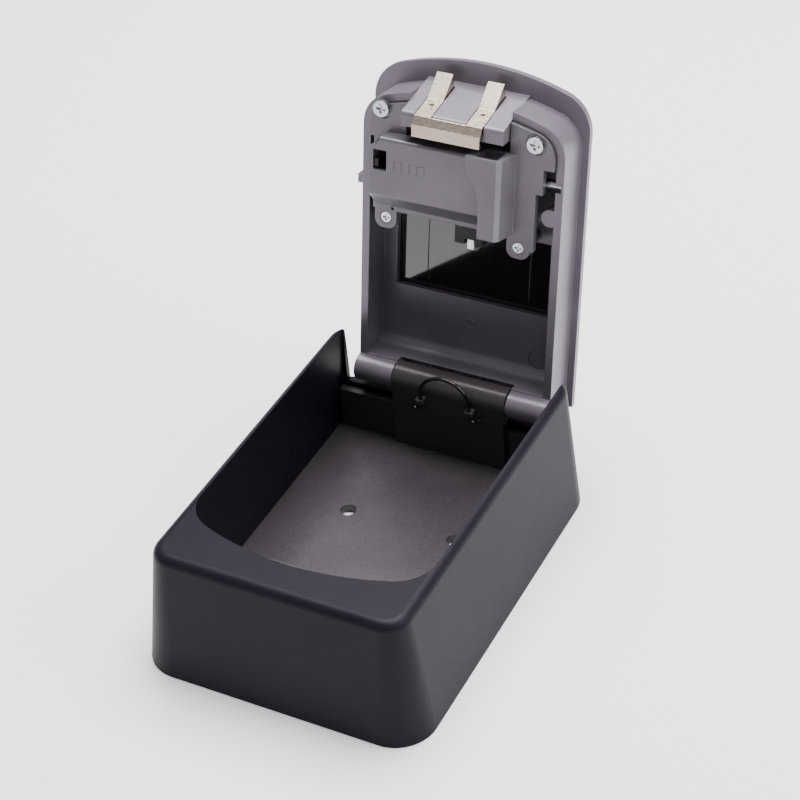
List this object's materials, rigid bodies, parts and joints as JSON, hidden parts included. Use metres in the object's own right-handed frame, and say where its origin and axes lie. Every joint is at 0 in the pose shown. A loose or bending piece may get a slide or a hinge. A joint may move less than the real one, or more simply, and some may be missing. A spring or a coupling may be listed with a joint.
{
  "type": "key cabinet",
  "caption": "Wall-mount key cabinet with a combination lock: dark moulded cover, open hinged zinc door with lock works, sliding shutter and an inner key hook.",
  "frame": {"origin": "centre of the back face that meets the wall", "axes": "+Z out of the wall, +Y towards the hinge end of the box, +X across, along the door's hinge"},
  "size_m": [0.09, 0.1544, 0.1238],
  "materials": {
    "cover_plastic": "dark blue-black, fine moulded grain",
    "zinc_casting": "satin grey die casting",
    "steel_pin": "drawn steel",
    "hook_wire": "bright plated wire",
    "strike_steel": "plated steel",
    "screw_steel": "zinc plated",
    "zinc_door": "satin grey die casting",
    "zinc_housing": "satin grey die casting",
    "spring_steel": "spring strip",
    "black_plastic": "black moulding",
    "latch_nickel": "nickel plated",
    "button_plastic": "black moulding",
    "shutter_plastic": "glossy black moulding",
    "dial_plastic": "black moulding with white digits",
    "wheel_brass": "turned brass"
  },
  "bodies": {
    "base": {"body_cover": "cover_plastic", "body_casting": "zinc_casting", "hinge_pin": "steel_pin", "key_hook": "hook_wire", "latch_strike": "strike_steel", "cover_screws": "screw_steel"},
    "door": {"door_casting": "zinc_door", "lock_housing": "zinc_housing", "bracket_screws": "screw_steel", "ear_screws": "screw_steel", "dial_axle": "steel_pin", "detent_spring": "spring_steel", "shutter_detent": "black_plastic", "detent_tongue": "spring_steel", "side_pin": "screw_steel"},
    "dial_wheel_1": {"dial_1": "dial_plastic", "code_wheel_1": "wheel_brass"},
    "dial_wheel_2": {"dial_2": "dial_plastic", "code_wheel_2": "wheel_brass"},
    "dial_wheel_3": {"dial_3": "dial_plastic", "code_wheel_3": "wheel_brass"},
    "dial_wheel_4": {"dial_4": "dial_plastic", "code_wheel_4": "wheel_brass"},
    "release": {"latch_plate": "latch_nickel", "open_button": "button_plastic"},
    "reset": {"reset_lever": "black_plastic", "reset_slide": "spring_steel"},
    "cover_shutter": {"shutter": "shutter_plastic"}
  },
  "joints": [
    {"name": "door_hinge", "type": "hinge", "parent": "base", "child": "door", "pos_m": [0, 0.0585, 0.0265], "axis": [1, 0, 0], "range_deg": [0, 101]},
    {"name": "dial_turn_1", "type": "hinge", "parent": "door", "child": "dial_wheel_1", "pos_m": [-0.0154, 0.0753, 0.09251], "axis": [1, 0, 0], "continuous": true},
    {"name": "dial_turn_2", "type": "hinge", "parent": "door", "child": "dial_wheel_2", "pos_m": [-0.0068, 0.0753, 0.09251], "axis": [1, 0, 0], "continuous": true},
    {"name": "dial_turn_3", "type": "hinge", "parent": "door", "child": "dial_wheel_3", "pos_m": [0.0018, 0.0753, 0.09251], "axis": [1, 0, 0], "continuous": true},
    {"name": "dial_turn_4", "type": "hinge", "parent": "door", "child": "dial_wheel_4", "pos_m": [0.0104, 0.0753, 0.09251], "axis": [1, 0, 0], "continuous": true},
    {"name": "latch_slide", "type": "slide", "parent": "door", "child": "release", "axis": [0, 0.1908, 0.9816], "range_m": [-0.001, 0.0022], "stiffness_N_per_m": 800},
    {"name": "reset_slide_x", "type": "slide", "parent": "door", "child": "reset", "axis": [1, 0, 0], "range_m": [0, 0.002]},
    {"name": "shutter_slide", "type": "slide", "parent": "door", "child": "cover_shutter", "axis": [0, 0.1908, 0.9816], "range_m": [0, 0.024]}
  ]
}
